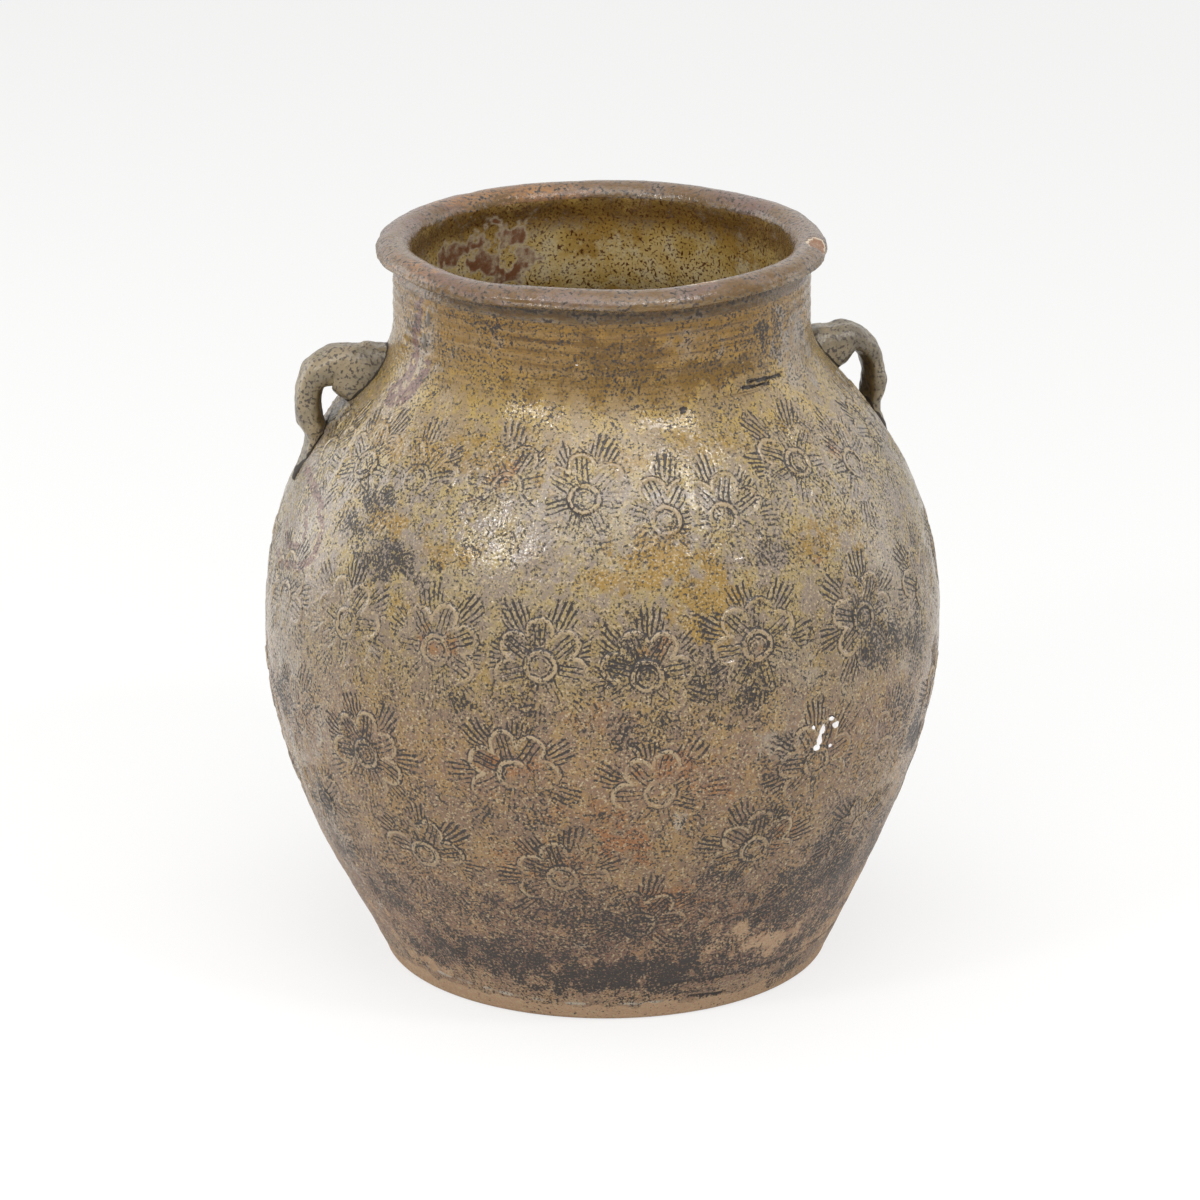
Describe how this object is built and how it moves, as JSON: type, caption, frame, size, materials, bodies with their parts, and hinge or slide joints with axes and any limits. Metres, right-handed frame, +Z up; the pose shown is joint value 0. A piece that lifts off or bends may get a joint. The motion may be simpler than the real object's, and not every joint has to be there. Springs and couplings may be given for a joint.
{
  "type": "martaban jar",
  "caption": "Wide-mouthed glazed stoneware storage jar with a bellied body, short neck, rolled rim and strap lugs on the shoulder for a tie-down cord.",
  "frame": {"origin": "middle of the foot's flat underside", "axes": "+Z up through the mouth; the front of the jar faces -Y and the lugs stand towards -X and +X, a little behind the middle"},
  "size_m": [0.3106, 0.3106, 0.34],
  "materials": {
    "bare_clay": "unglazed fired stoneware, buff to orange tan, worn",
    "wall_glaze": "thin ochre ash glaze over stamped stoneware, with soot in the grooves",
    "neck_glaze": "thin amber ash glaze with throwing lines",
    "rim_glaze": "glaze worn to a pale mauve brown, with chips",
    "lug_glaze": "speckled olive brown ash glaze"
  },
  "bodies": {
    "root": {"base_disc": "bare_clay", "lower_wall": "wall_glaze", "upper_wall": "wall_glaze", "neck_collar": "neck_glaze", "rolled_rim": "rim_glaze", "lug_left": "lug_glaze", "lug_right": "lug_glaze"}
  },
  "joints": []
}
